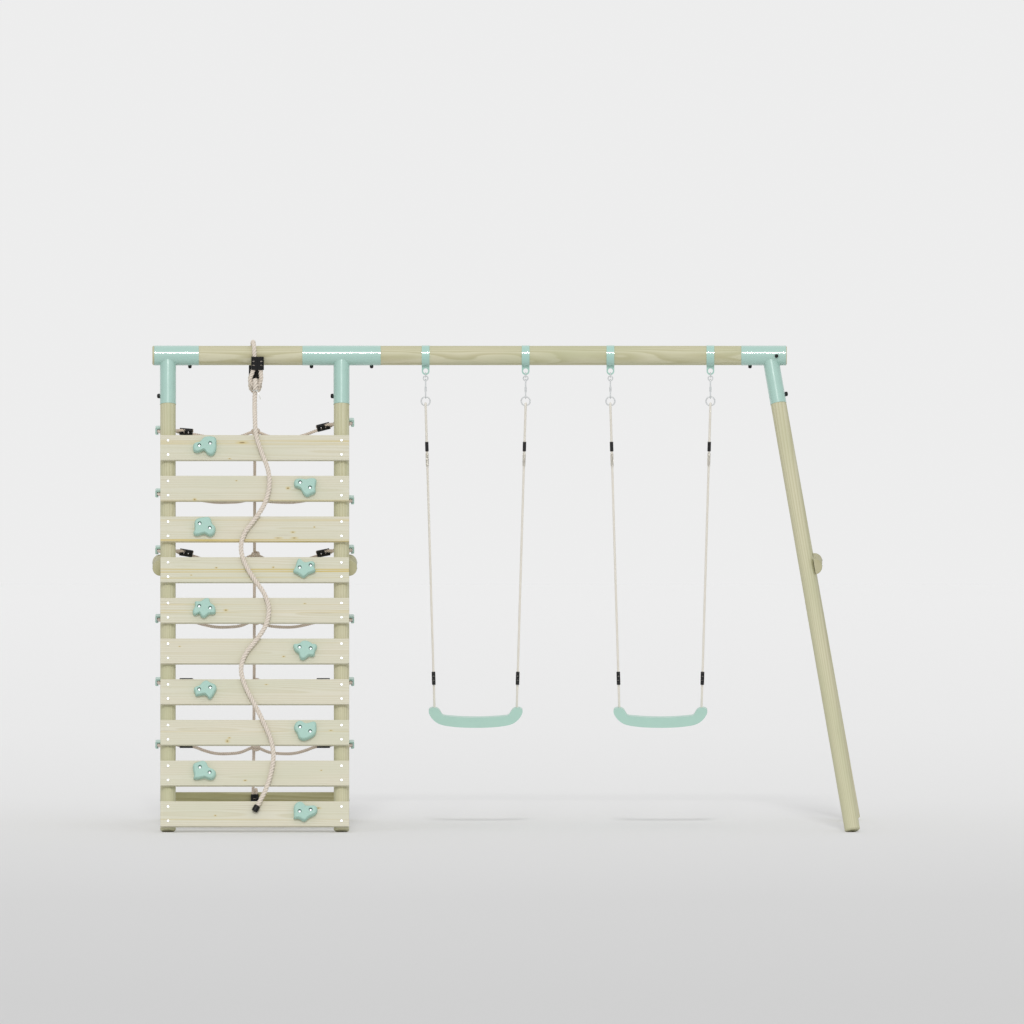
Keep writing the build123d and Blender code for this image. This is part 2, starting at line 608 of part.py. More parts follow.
def wire_loop(top_z, bottom_z, top_r, bottom_r, wire_r):
    """Pear-shaped closed wire in the YZ plane: two arcs joined by their common tangents."""
    rise = top_z - bottom_z
    lean = asin((bottom_r - top_r) / rise)
    c, s = cos(lean), sin(lean)
    path = Wire(
        [
            ThreePointArc((0, -top_r * c, top_z + top_r * s), (0, 0, top_z + top_r),
                          (0, top_r * c, top_z + top_r * s)).edge(),
            Line((0, top_r * c, top_z + top_r * s), (0, bottom_r * c, bottom_z + bottom_r * s)).edge(),
            ThreePointArc((0, bottom_r * c, bottom_z + bottom_r * s), (0, 0, bottom_z - bottom_r),
                          (0, -bottom_r * c, bottom_z + bottom_r * s)).edge(),
            Line((0, -bottom_r * c, bottom_z + bottom_r * s), (0, -top_r * c, top_z + top_r * s)).edge(),
        ]
    )
    section = Plane(origin=path @ 0, z_dir=path % 0) * Circle(wire_r)
    return sweep(section, path=path)


def swing_rope_line(top_x, seat_x):
    """Axis of a swing rope from its ring to the seat, as a function of height."""
    top = Vector(top_x, BEAM_Y, BIG_RING_Z - BIG_RING_R)
    bottom = Vector(seat_x, BEAM_Y, SEAT_BOTTOM_Z + SEAT_HORN_TOP)

    def at(z, forward=0):
        share = (top.Z - z) / (top.Z - bottom.Z)
        return (top.X + share * (bottom.X - top.X), BEAM_Y + forward, z)

    return at


def swing_rope_points(top_x, seat_x):
    """Tail under the ferrule, up round the big ring's wire, then straight to the seat."""
    at = swing_rope_line(top_x, seat_x)
    z = BIG_RING_Z - BIG_RING_R
    return [
        at(1872, 7), at(1945, 6.6), at(2050, 8), at(2110, 12.5), at(2160, 13), at(2192, 10.5),
        at(z + 12.5, -2), at(2187, -12.5), at(2150, -13.5), at(2105, -12), at(2040, -6.6), at(1930, -6.4),
        at(1840, -2), at(1700, 0.5), at(592, 0),
    ]


def swing_rope_fittings(top_x, seat_x):
    """Ferrule and clear sleeve at the rope's eye, the lower clamp, and the knot in the seat."""
    at = swing_rope_line(top_x, seat_x)
    way = Vector(*at(0)) - Vector(*at(1000))
    pieces = []
    for z, wide, deep, high, soft in ((1971, 18, 31, 49, 6), (1903, 15.5, 28, 66, 6)):
        block = Box(wide, deep, high)
        block = fillet(block.edges().filter_by(Axis.Z), soft)
        block = fillet(block.faces().sort_by(Axis.Z)[-1].edges(), 1.5)
        pieces.append(Plane(origin=at(z), x_dir=(1, 0, 0), z_dir=way) * block)
    lower = Box(19, 26, 68)
    lower = fillet(lower.edges().filter_by(Axis.Z), 7)
    lower = fillet(lower.faces().sort_by(Axis.Z)[-1].edges(), 3)
    lower = fillet(lower.faces().sort_by(Axis.Z)[0].edges(), 3)
    for z in (-11, 11):
        lower -= Pos(0, 0, z) * Rot(90, 0, 0) * extrude(SlotOverall(10, 5), 20, both=True)
    pieces.append(Plane(origin=at(767.5), x_dir=(1, 0, 0), z_dir=way) * lower)
    return pieces


# Side view of a seat's right half, about its middle and its lowest point.
SEAT_BOTTOM = ((80, 2), (150, 9.5), (190, 20), (216, 37), (236, 62), (243.5, 84), (240, 96))
SEAT_HORN = ((240, 96), (226, SEAT_HORN_TOP), (205, SEAT_HORN_TOP - 1), (188, 90), (176, 70), (158, 61))
SEAT_TOP_MIDDLE = (0, 52.5)
HOLLOW_BOTTOM = ((80, -6), (150, 0), (186, 11), (210, 30), (224, 50), (232, 66), (237, 84), (234, 91))
HOLLOW_HORN = ((234, 91), (225, 97), (206, 96), (192, 86), (180, 66), (160, 55.5))
HOLLOW_TOP_MIDDLE = (0, 47.5)


def seat_profile(bottom, lowest, horn, top_middle):
    """Closed side view of the seat or of its hollow, mirrored about its middle."""
    left_bottom = [(-x, z) for x, z in bottom[::-1]]
    left_horn = [(-x, z) for x, z in horn[::-1]]
    edges = [
        Spline(*left_bottom, lowest, *bottom).edge(),
        Spline(*horn).edge(),
        ThreePointArc(horn[-1], top_middle, left_horn[0]).edge(),
        Spline(*left_horn).edge(),
    ]
    return make_face(Wire(edges))


def swing_seat(x, rope_xs):
    """Moulded seat: a curved shell open underneath, upturned horns, cross ribs."""
    outside = seat_profile(SEAT_BOTTOM, (0, 0), SEAT_HORN, SEAT_TOP_MIDDLE)
    inside = seat_profile(HOLLOW_BOTTOM, (0, -8), HOLLOW_HORN, HOLLOW_TOP_MIDDLE)
    shell = extrude(outside, SEAT_DEPTH / 2, both=True)
    hollow = extrude(inside, SEAT_DEPTH / 2 - SEAT_WALL, both=True)
    for rib_x in (-120, -40, 40, 120):
        hollow -= Pos(rib_x, 0, 0) * Box(4, 300, SEAT_DEPTH)
    body = Rot(90, 0, 0) * (shell - hollow)
    for rope_x in rope_xs:
        body -= Pos(rope_x - x, 0, 90) * Cylinder(SWING_ROPE_D / 2 + 1, 60)
    return Pos(x, BEAM_Y, SEAT_BOTTOM_Z) * body


# ---- build --------------------------------------------------------------------
os.makedirs("parts", exist_ok=True)

coach_places = coach_screw_places()
coach_screws = [coach_screw(*place) for place in coach_places]
screw_cutters = group(coach_screws)
save("bracket_bolts", screw_cutters)
save("bolt_caps", group([screw_cap(*place) for place in coach_places]))
save("top_beam", top_beam(screw_cutters))
for name, (span, axis_x, lean) in BRACKETS.items():
    save(name, bracket(span, axis_x, lean, screw_cutters))

board_screws = [[wood_screw(*place) for place in board_screw_places(i)] for i in range(BOARD_COUNT)]
brace_screws = [wood_screw(*place, length=85) for place in brace_screw_places()]
crossbar_screws = [wood_screw(*place, length=120) for place in crossbar_screw_places()]
wall_screws = [screw for row in board_screws for screw in row]
save("wood_screws", group(wall_screws + brace_screws + crossbar_screws))

long_screws = group(brace_screws + crossbar_screws)
wall_cutters = group(wall_screws)
rear_legs = []
for name, axis_x, lean, end in (
    ("left", LEFT_X, 0, LEG_END), ("middle", MIDDLE_X, 0, LEG_END), ("right", RIGHT_X, RIGHT_LEAN, RIGHT_LEG_END)
):
    for side, place in ((FRONT, "front"), (REAR, "rear")):
        timber = leg(side, axis_x, lean, end) - screw_cutters - long_screws
        if side == FRONT and name != "right":
            timber = timber - wall_cutters
        save(f"{name}_{place}_leg", timber)
        if side == REAR and name != "right":
            rear_legs.append(leg(side, axis_x, lean, end))

braces = [brace(LEFT_X, 0, -1), brace(MIDDLE_X, 0, 1), brace(RIGHT_X, RIGHT_LEAN, 1)]
save("leg_braces", group([log - long_screws for log in braces]))
save("rear_crossbar", rear_crossbar(rear_legs) - long_screws)

hold_bolts = []
for i in range(BOARD_COUNT):
    bolts = [hold_bolt(i, offset) for offset in hold_bolt_offsets(i)]
    hold_bolts += bolts
    save(f"wall_board_{i + 1:02d}", board(i, group(board_screws[i] + bolts)))
    save(f"climbing_hold_{i + 1:02d}", climbing_hold(i))
save("hold_bolts", group(hold_bolts))

save("rope_clamps", rope_clamps())
clips = [row_clip(x, outward, downs[row]) for row in range(len(ROW_LEFT))
         for x, outward, downs in ((LEFT_X, -1, ROW_LEFT), (MIDDLE_X, 1, ROW_RIGHT))]
save("net_clips", group(clips))
save("beam_sling", cord("beam_sling", beam_sling_points(), SLING_D))
save("net_upright_rope", cord("net_upright_rope", upright_points(), NET_ROPE_D))
for row in range(len(ROW_LEFT)):
    name = f"net_row_rope_{row + 1}"
    save(name, cord(name, row_points(row), NET_ROPE_D))
save("climbing_rope", cord("climbing_rope", climbing_rope_points(), CLIMB_ROPE_D))
save("climbing_rope_end_cap", climbing_rope_end_cap())

strap_xs = []
for name, x in SWINGS.items():
    tops = (x - STRAP_HALF_SPAN, x + STRAP_HALF_SPAN)
    seats = (x - SEAT_ROPE_HALF_SPAN, x + SEAT_ROPE_HALF_SPAN)
    strap_xs += tops
    save(f"{name}_hangers", group([hanger(top) for top in tops]))
    fittings = [piece for ends in zip(tops, seats) for piece in swing_rope_fittings(*ends)]
    save(f"{name}_rope_fittings", group(fittings))
    for hand, ends in zip(("left", "right"), zip(tops, seats)):
        rope_name = f"{name}_{hand}_rope"
        save(rope_name, cord(rope_name, swing_rope_points(*ends), SWING_ROPE_D))
    save(f"{name}_seat", swing_seat(x, seats))
save("hanger_straps", group([hanger_strap(x) for x in strap_xs]))
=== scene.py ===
import math
import bpy
import numpy as np
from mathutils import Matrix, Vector


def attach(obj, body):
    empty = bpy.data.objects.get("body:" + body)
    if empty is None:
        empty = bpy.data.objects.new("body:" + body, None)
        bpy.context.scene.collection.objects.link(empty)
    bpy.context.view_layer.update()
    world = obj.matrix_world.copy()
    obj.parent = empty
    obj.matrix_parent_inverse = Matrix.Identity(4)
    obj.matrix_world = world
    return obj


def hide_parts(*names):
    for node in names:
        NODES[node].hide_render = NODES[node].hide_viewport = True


# The garden play frame's looks: materials for the CAD's pieces, laid ropes in place of its plain
# rope tubes, the net's knots, the climbing rope's cable tie, a floor and the light.

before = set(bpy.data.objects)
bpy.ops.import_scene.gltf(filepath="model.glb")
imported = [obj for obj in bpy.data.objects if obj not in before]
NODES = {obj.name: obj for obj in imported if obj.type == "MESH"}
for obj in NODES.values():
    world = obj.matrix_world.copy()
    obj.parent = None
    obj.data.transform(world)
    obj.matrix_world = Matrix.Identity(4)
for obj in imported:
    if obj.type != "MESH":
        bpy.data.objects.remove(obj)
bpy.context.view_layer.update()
scene = bpy.context.scene
scene.view_settings.view_transform = "Standard"

# ---- the frame's own numbers, in metres -------------------------------------
BEAM_Y, BEAM_Z, BEAM_R = 0.028, 2.444, 0.050
LEG_R = 0.040
SIN, COS = math.sin(math.radians(17)), math.cos(math.radians(17))
FRONT, REAR = -1, 1
LEFT_X, MIDDLE_X, RIGHT_X, WALL_X = -1.7596, -0.8591, 1.3648, -1.30935
RIGHT_LEAN = 0.1758
BOARD_PITCH, FIRST_BOARD_AT, BOARD_FRONT = 0.2182, 0.5111, 0.068
CROSSBAR_AT = 2.4448
NET_ROPE_D, SLING_D, CLIMB_ROPE_D, SWING_ROPE_D = 0.016, 0.024, 0.026, 0.012


def slope(side, x, down, out):
    """Point on the front or rear slope: down it from the beam's axis, out from the legs' axes."""
    y = BEAM_Y + side * (down * SIN + out * COS)
    return Vector((x, y, BEAM_Z - down * COS + out * SIN))


# ---- camera -------------------------------------------------------------------
ELEVATION = math.radians(2.4)
camera = bpy.data.objects.new("camera", bpy.data.cameras.new("camera"))
camera.data.type = "ORTHO"
camera.data.ortho_scale = 5.3146
camera.data.clip_end = 140
camera.rotation_euler = (math.pi / 2 - ELEVATION, 0, 0)
AIM, DISTANCE = Vector((0.0257, BEAM_Y, 1.6310)), 45
camera.location = AIM - DISTANCE * Vector((0, math.cos(ELEVATION), -math.sin(ELEVATION)))
scene.collection.objects.link(camera)
scene.camera = camera


# ---- materials ----------------------------------------------------------------
def srgb(*values):
    """Linear colour of an 8-bit one."""
    linear = [v / 255 / 12.92 if v <= 10 else ((v / 255 + 0.055) / 1.055) ** 2.4 for v in values]
    return (*linear, 1)


def darker(colour, share):
    return (*(c * share for c in colour[:3]), 1)


class Graph:
    """Shader nodes of a material or of the world, built by short calls that return an output."""

    def __init__(self, owner):
        owner.use_nodes = True
        self.owner = owner
        self.nodes, self.links = owner.node_tree.nodes, owner.node_tree.links
        self.nodes.clear()

    def put(self, socket, value):
        if isinstance(value, bpy.types.NodeSocket):
            self.links.new(value, socket)
        elif value is not None:
            socket.default_value = value

    def node(self, kind, **settings):
        made = self.nodes.new("ShaderNode" + kind)
        for key, value in settings.items():
            setattr(made, key, value)
        return made

    def fill(self, made, **inputs):
        """Set a node's inputs by name, with an underscore for a space."""
        for name, value in inputs.items():
            self.put(made.inputs[name.replace("_", " ")], value)
        return made

    def math(self, operation, a, b=None, c=None):
        made = self.node("Math", operation=operation)
        for socket, value in zip(made.inputs, (a, b, c)):
            self.put(socket, value)
        return made.outputs[0]

    def hypot(self, a, b):
        return self.math("SQRT", self.math("ADD", self.math("MULTIPLY", a, a), self.math("MULTIPLY", b, b)))

    def vector(self, operation, a, b):
        made = self.node("VectorMath", operation=operation)
        self.put(made.inputs[0], a)
        self.put(made.inputs[1], b)
        return made.outputs["Value" if operation == "DOT_PRODUCT" else "Vector"]

    def place(self):
        return self.node("TexCoord").outputs["Object"]

    def local(self, origin, axes):
        """Coordinates along three directions, from an origin."""
        offset = self.vector("SUBTRACT", self.place(), tuple(origin))
        return [self.vector("DOT_PRODUCT", offset, tuple(axis)) for axis in axes]

    def join(self, x, y, z):
        made = self.node("CombineXYZ")
        for socket, value in zip(made.inputs, (x, y, z)):
            self.put(socket, value)
        return made.outputs[0]

    def component(self, vector, index):
        made = self.node("SeparateXYZ")
        self.put(made.inputs[0], vector)
        return made.outputs[index]

    def noise(self, where, scale, detail=3.0, rough=0.5):
        """Noise of one scale, or of three along the coordinates."""
        if isinstance(scale, tuple):
            where, scale = self.vector("MULTIPLY", where, scale), 1.0
        made = self.fill(self.node("TexNoise"), Vector=where, Scale=scale, Detail=detail, Roughness=rough)
        return made.outputs[0]

    def remap(self, value, low, high, to_low=0.0, to_high=1.0):
        made = self.node("MapRange")
        for socket, item in zip(made.inputs, (value, low, high, to_low, to_high)):
            self.put(socket, item)
        return made.outputs[0]

    def mix(self, share, a, b):
        made = self.node("Mix", data_type="RGBA")
        for index, value in ((0, share), (6, a), (7, b)):
            self.put(made.inputs[index], value)
        return made.outputs[2]

    def bump(self, height, strength, distance):
        return self.fill(self.node("Bump"), Height=height, Strength=strength, Distance=distance).outputs[0]

    def finish(self, **inputs):
        shader = self.fill(self.node("BsdfPrincipled"), **inputs)
        self.put(self.node("OutputMaterial").inputs["Surface"], shader.outputs[0])
        return self.owner


def new_material(name):
    return Graph(bpy.data.materials.new(name))


def wood(name, origin, along, across, look, seed, knots=(), bands=()):
    """Planed or turned softwood whose rings are cylinders round a pith line beside the piece.

    Knots are given by their place along and across, size and stretch, resin bands by their two
    edges across and strength."""
    g = new_material(name)
    along, across = Vector(along).normalized(), Vector(across)
    across = (across - along * across.dot(along)).normalized()
    third = along.cross(across)
    a, w, n = g.local(origin, (along, across, third))
    where = g.join(g.math("ADD", a, seed * 3.7), g.math("ADD", w, seed * 1.3), n)
    wander = g.noise(where, (0.9, 5.0, 5.0), 2.0)
    wobble = g.noise(where, (3.0, 40.0, 40.0), 2.0)
    pith_w, pith_n, drift = look["pith"]
    from_w = g.math("ADD", g.math("MULTIPLY_ADD", a, drift, w), pith_w)
    from_n = g.math("ADD", g.math("MULTIPLY_ADD", wander, look["wander"], n), pith_n)
    radius = g.math("MULTIPLY_ADD", wobble, 0.0025, g.hypot(from_w, from_n))
    ring = g.math("FRACT", g.math("DIVIDE", radius, look["ring"]))
    late = g.math("MULTIPLY", g.remap(ring, 0.25, 0.86), g.remap(ring, 1.0, 0.9))
    fibre = g.noise(where, (5.0, 420.0, 420.0), 3.0, 0.6)
    blotch = g.noise(where, (1.6, 9.0, 9.0), 2.0)
    colour = g.mix(g.math("MULTIPLY", late, look["contrast"]), look["light"], look["dark"])
    colour = g.mix(g.remap(blotch, 0.35, 0.7, 0.0, look["stain_share"]), colour, look["stain"])
    for low, high, share in bands:
        edge = g.math("MULTIPLY_ADD", g.noise(where, (1.4, 6.0, 6.0), 2.0), 0.016, w)
        band = g.math("MULTIPLY", g.remap(edge, low, low + 0.004), g.remap(edge, high, high - 0.005))
        streaks = g.remap(g.noise(where, (1.1, 170.0, 30.0), 2.0), 0.38, 0.66)
        colour = g.mix(g.math("MULTIPLY", g.math("MULTIPLY", band, streaks), share), colour, look["resin"])
    for along_at, across_at, size, stretch in knots:
        far = g.math("DIVIDE", g.math("SUBTRACT", a, along_at), size * stretch)
        side = g.math("DIVIDE", g.math("SUBTRACT", w, across_at), size)
        knot = g.math("MULTIPLY_ADD", g.noise(where, (60.0, 90.0, 90.0), 2.0), 0.5, g.hypot(far, side))
        colour = g.mix(g.remap(knot, 1.9, 0.9, 0.0, 0.55), colour, look["resin"])
        colour = g.mix(g.remap(knot, 0.85, 0.55, 0.0, 0.8), colour, look["knot"])
    colour = g.mix(g.remap(fibre, 0.3, 0.75, 0.0, 0.16), colour, look["dark"])
    check = g.remap(g.noise(where, (3.2, 260.0, 260.0), 1.0), 0.73, 0.8)
    colour = g.mix(g.math("MULTIPLY", check, 0.35), colour, look["knot"])
    height = g.math("SUBTRACT", g.math("MULTIPLY_ADD", fibre, 0.6, g.math("MULTIPLY", late, -0.3)), check)
    rough = g.remap(fibre, 0.3, 0.7, 0.55, 0.75)
    return g.finish(Base_Color=colour, Roughness=rough, Specular_IOR_Level=0.3,
                    Normal=g.bump(height, 0.35, 0.0006))


# pith: how far the rings' centre lies beside and behind the piece's own line, and its drift along
# it. wander: how far the rings stray. ring: the width of one. All in metres.
LOG = {
    "pith": (0.012, -0.006, 0.010), "wander": 0.020, "ring": 0.0058, "contrast": 0.55,
    "light": srgb(211, 207, 179), "dark": srgb(180, 174, 134), "stain": srgb(186, 190, 154),
    "stain_share": 0.55, "resin": srgb(205, 186, 120), "knot": srgb(112, 96, 62),
}
BOARD = {
    "pith": (0.020, -0.075, 0.012), "wander": 0.050, "ring": 0.0085, "contrast": 0.42,
    "light": srgb(220, 216, 199), "dark": srgb(197, 188, 154), "stain": srgb(205, 208, 185),
    "stain_share": 0.5, "resin": srgb(205, 182, 98), "knot": srgb(120, 84, 34),
}


def plastic(name, colour, rough, grain, grain_depth, speckle=0.0, speckle_colour=None, **more):
    """Moulded plastic with a fine surface grain and a little unevenness in its tone."""
    g = new_material(name)
    where = g.place()
    fine = g.noise(where, grain, 3.0, 0.6)
    broad = g.noise(where, 14.0, 2.0)
    tone = g.mix(g.remap(broad, 0.3, 0.7, 0.0, 0.10), colour, darker(colour, 0.8))
    if speckle:
        dots = g.remap(g.noise(where, grain * 0.8, 1.0), 0.60, 0.68, 0.0, speckle)
        tone = g.mix(dots, tone, speckle_colour)
    return g.finish(Base_Color=tone, Roughness=g.remap(fine, 0.3, 0.7, rough - 0.06, rough + 0.08),
                    Normal=g.bump(fine, 0.5, grain_depth), **more)


def sleeved_plastic(name, low, high):
    """Black moulded plastic, with a milky clear sleeve between two heights."""
    g = new_material(name)
    where = g.place()
    height = g.component(where, 2)
    sleeve = g.math("MULTIPLY", g.math("GREATER_THAN", height, low), g.math("LESS_THAN", height, high))
    grain = g.noise(where, 700.0, 2.0)
    haze = g.noise(where, 60.0, 3.0)
    clear = g.mix(g.remap(haze, 0.35, 0.7), srgb(252, 252, 250), srgb(240, 239, 235))
    dark = g.mix(g.remap(grain, 0.3, 0.7), srgb(10, 10, 11), srgb(20, 20, 21))
    return g.finish(Base_Color=g.mix(sleeve, dark, clear), Roughness=g.remap(sleeve, 0.0, 1.0, 0.42, 0.08),
                    Transmission_Weight=g.math("MULTIPLY", sleeve, 0.92),
                    IOR=g.remap(sleeve, 0.0, 1.0, 1.45, 1.16), Normal=g.bump(grain, 0.4, 0.0003))


def enamel(name, colour, rough):
    """Thick glossy enamel over steel, with faint orange peel."""
    g = new_material(name)
    where = g.place()
    peel = g.noise(where, 160.0, 2.0)
    broad = g.noise(where, 22.0, 3.0)
    tone = g.mix(g.remap(broad, 0.35, 0.75, 0.0, 0.16), colour, darker(colour, 0.82))
    return g.finish(Base_Color=tone, Roughness=g.remap(broad, 0.3, 0.7, rough - 0.05, rough + 0.06),
                    Coat_Weight=1.0, Coat_Roughness=0.07, Normal=g.bump(peel, 0.25, 0.0003))


def zinc(name):
    """Bright zinc plating with soft spangle and fine scratches."""
    g = new_material(name)
    where = g.place()
    spangle = g.noise(where, 260.0, 2.0)
    scratch = g.noise(where, (900.0, 900.0, 60.0), 2.0)
    tone = g.mix(g.remap(spangle, 0.35, 0.7), srgb(234, 236, 237), srgb(200, 203, 205))
    return g.finish(Base_Color=tone, Metallic=0.55, Roughness=g.remap(spangle, 0.3, 0.7, 0.28, 0.46),
                    Normal=g.bump(scratch, 0.2, 0.0002))


STRANDS, SIDES = 3, 18  # of a laid rope
TWIST = 2  # diameters along the rope in one turn of its strands
STEPS_A_TURN = 12


def fibres(name, light, shade, thread, groove_shade):
    """Rope fibre: fine threads along each strand, a few stray pale ones, painted shade in the grooves."""
    g = new_material(name)
    uv = g.node("UVMap", uv_map="strand").outputs[0]
    threads = g.noise(uv, (70.0, 2.2 / thread, 1.0), 3.0, 0.6)
    patches = g.noise(g.place(), 30.0, 2.0)
    tone = g.mix(g.remap(threads, 0.3, 0.75), light, shade)
    tone = g.mix(g.remap(patches, 0.4, 0.75, 0.0, 0.35), tone, shade)
    # Painted shade: the grooves between the strands are darkened toward half the shade tone.
    crown = g.math("COSINE", g.math("MULTIPLY", g.component(uv, 0), 2 * STRANDS * math.pi))
    tone = g.mix(g.remap(crown, -0.3, -1.0, 0.0, groove_shade), tone, darker(shade, 0.5))
    return g.finish(Base_Color=tone, Roughness=0.88, Specular_IOR_Level=0.2, Sheen_Weight=0.25,
                    Sheen_Roughness=0.5, Normal=g.bump(threads, 0.6, 0.0006))


# ---- meshes -------------------------------------------------------------------
def add_mesh(name, vertices, faces, material, body, smooth=True):
    mesh = bpy.data.meshes.new(name)
    mesh.from_pydata([tuple(v) for v in vertices], [], faces)
    mesh.materials.append(material)
    mesh.polygons.foreach_set("use_smooth", [smooth] * len(mesh.polygons))
    mesh.update()
    made = bpy.data.objects.new(name, mesh)
    scene.collection.objects.link(made)
    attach(made, body)
    return made


def route_line(points):
    """Points of a smooth NURBS line whose control points are the route's."""
    curve = bpy.data.curves.new("route", "CURVE")
    curve.dimensions = "3D"
    curve.resolution_u = 16
    spline = curve.splines.new("NURBS")
    spline.points.add(len(points) - 1)
    for point, place in zip(spline.points, points):
        point.co = (*place, 1)
    spline.order_u = 3
    spline.use_endpoint_u = True
    carrier = bpy.data.objects.new("route", curve)
    scene.collection.objects.link(carrier)
    mesh = bpy.data.meshes.new_from_object(carrier)
    line = np.array([v.co for v in mesh.vertices], float)
    bpy.data.objects.remove(carrier)
    bpy.data.curves.remove(curve)
    bpy.data.meshes.remove(mesh)
    return line


def even_steps(line, step):
    """The same line in even steps, and how far along it each point is."""
    lengths = np.r_[0, np.cumsum(np.linalg.norm(np.diff(line, axis=0), axis=1))]
    count = max(3, int(round(lengths[-1] / step)) + 1)
    at = np.linspace(0, lengths[-1], count)
    return np.stack([np.interp(at, lengths, line[:, k]) for k in range(3)], axis=1), at


def strand_profile():
    """Angles and radii of a laid rope's outline of radius 1: round strands pressed together."""
    strand, offset = 0.6, 0.4
    angles = np.arange(SIDES) * 2 * math.pi / SIDES
    local = (angles + math.pi / STRANDS) % (2 * math.pi / STRANDS) - math.pi / STRANDS
    return angles, offset * np.cos(local) + np.sqrt(strand ** 2 - (offset * np.sin(local)) ** 2)


def laid_tube(centres, at, radius, twist):
    """Vertices, faces and strand coordinates of a twisted rope along a line."""
    angles, outline = strand_profile()
    tangents = np.gradient(centres, axis=0)
    tangents /= np.linalg.norm(tangents, axis=1)[:, None]
    side = np.cross(tangents[0], (0.3, 0.5, 0.8))
    rings = []
    for i, tangent in enumerate(tangents):
        side = side - tangent * side.dot(tangent)
        side /= np.linalg.norm(side)
        other = np.cross(tangent, side)
        turn = angles + 2 * math.pi * at[i] / twist
        spokes = np.cos(turn)[:, None] * side + np.sin(turn)[:, None] * other
        rings.append(centres[i] + radius * outline[:, None] * spokes)
    faces, uvs = [], []
    for i in range(len(centres) - 1):
        this, above = i * SIDES, (i + 1) * SIDES
        for k in range(SIDES):
            j = (k + 1) % SIDES
            faces.append((this + k, this + j, above + j, above + k))
            low, high = k / SIDES, (k + 1) / SIDES
            uvs += [(low, at[i]), (high, at[i]), (high, at[i + 1]), (low, at[i + 1])]
    for start, order in ((0, -1), ((len(centres) - 1) * SIDES, 1)):
        faces.append([start + k for k in range(SIDES)][::order])
        uvs += [(0.5, 0.0)] * SIDES
    return np.concatenate(rings), faces, uvs


def rope_mesh(name, line, diameter, material, body, slot, fullness=0.53):
    """A laid rope whose strands reach out to fullness times the diameter."""
    twist = TWIST * diameter
    centres, at = even_steps(line, twist / STEPS_A_TURN)
    vertices, faces, uvs = laid_tube(centres, at, fullness * diameter, twist)
    made = add_mesh(name, vertices, faces, material, body)
    layer = made.data.uv_layers.new(name="strand")
    layer.data.foreach_set("uv", np.array(uvs, np.float32).ravel())
    return made, centres, at[-1]


def rope(name, points, diameter, material, body, slot, far_end="object", lay="taut", ends=(), **more):
    """A laid rope in place of its CAD tube."""
    line = route_line(points)
    made, centres, length = rope_mesh(name + "_laid", line, diameter, material, body, slot, **more)
    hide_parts(name)


# ---- routes -------------------------------------------------------------------
SLING_Y = BEAM_R + SLING_D / 2 + 0.002
EYE_X, EYE_Z, REAR_EYE_Z = WALL_X + 0.003, 2.296, 2.262
SLING_BARREL_X = (WALL_X - 0.0014, WALL_X + 0.0306)
REAR_BARREL_X = (-1.323, -1.292)
CROSSBAR_Y = BEAM_Y + CROSSBAR_AT * SIN
CROSSBAR_Z = BEAM_Z - CROSSBAR_AT * COS
CROSSBAR_LOOP_R = 0.052
UPRIGHT_TOP = (BEAM_Y + SLING_Y + 0.022, REAR_EYE_Z - 0.120)
UPRIGHT_BOTTOM = (CROSSBAR_Y - CROSSBAR_LOOP_R - 0.018, CROSSBAR_Z + 0.175)
ROW_LEFT = (0.412, 0.757, 1.070, 1.448, 1.795, 2.140)
ROW_RIGHT = (0.369, 0.795, 1.067, 1.450, 1.795, 2.140)
ROW_MIDDLE = (0.412, 0.778, 1.089, 1.452, 1.788, 2.146)
ROW_LOW = (0.449, 0.804, 1.135, 1.490, 1.840, 2.186)
ROW_TILT_LEFT = (5, 10, 10, 3, 0, 0)
ROW_TILT_RIGHT = (15, -8, 12, 3, 0, 0)
CLAMP_START, CLAMP_LENGTH, STRAND_HALF_GAP = 0.060, 0.068, 0.0095
LOOP_R = LEG_R + NET_ROPE_D / 2 + 0.0018
FIVE_CORNERS = math.cos(math.radians(36))  # a pentagon's inner radius over its outer one
CLIMB_WAVES = (
    (4, 453), (40, 555), (72, 635), (79, 727), (53, 823), (-2, 904), (-57, 973), (-77, 1059),
    (-48, 1150), (1, 1228), (53, 1300), (78, 1381), (61, 1472), (6, 1553), (-53, 1622),
    (-77, 1708), (-48, 1805), (1, 1896), (45, 1987), (87, 2084), (101, 2175), (81, 2282),
    (48, 2378), (2, 2458),
)
CLIMB_OUT = BOARD_FRONT + CLIMB_ROPE_D / 2 + 0.004


def beam_sling_points():
    """From the front clamp down round the front eye, up over the beam, and round the rear eye."""
    front, rear = BEAM_Y - SLING_Y, BEAM_Y + SLING_Y
    left, right = SLING_BARREL_X
    rear_main, rear_dead = REAR_BARREL_X
    return [
        (right, front, 2.438), (right, front, 2.362), (right + 0.004, front, 2.320),
        (right - 0.014, front, EYE_Z - 0.006), (left - 0.010, front, EYE_Z - 0.006),
        (left - 0.028, front, 2.322), (left - 0.008, front, 2.362), (left, front, 2.410),
        (left - 0.001, front, BEAM_Z + 0.042), (left - 0.005, BEAM_Y - 0.032, BEAM_Z + 0.070),
        (left - 0.009, BEAM_Y + 0.032, BEAM_Z + 0.070), (rear_main + 0.001, rear, BEAM_Z + 0.042),
        (rear_main, rear, 2.380), (rear_main - 0.003, rear, 2.322),
        (rear_main - 0.012, rear, 2.290), (rear_main - 0.002, rear, REAR_EYE_Z - 0.006),
        (rear_dead + 0.002, rear, REAR_EYE_Z - 0.006), (rear_dead + 0.012, rear, 2.290),
        (rear_dead + 0.003, rear, 2.322), (rear_dead, rear, 2.395),
    ]


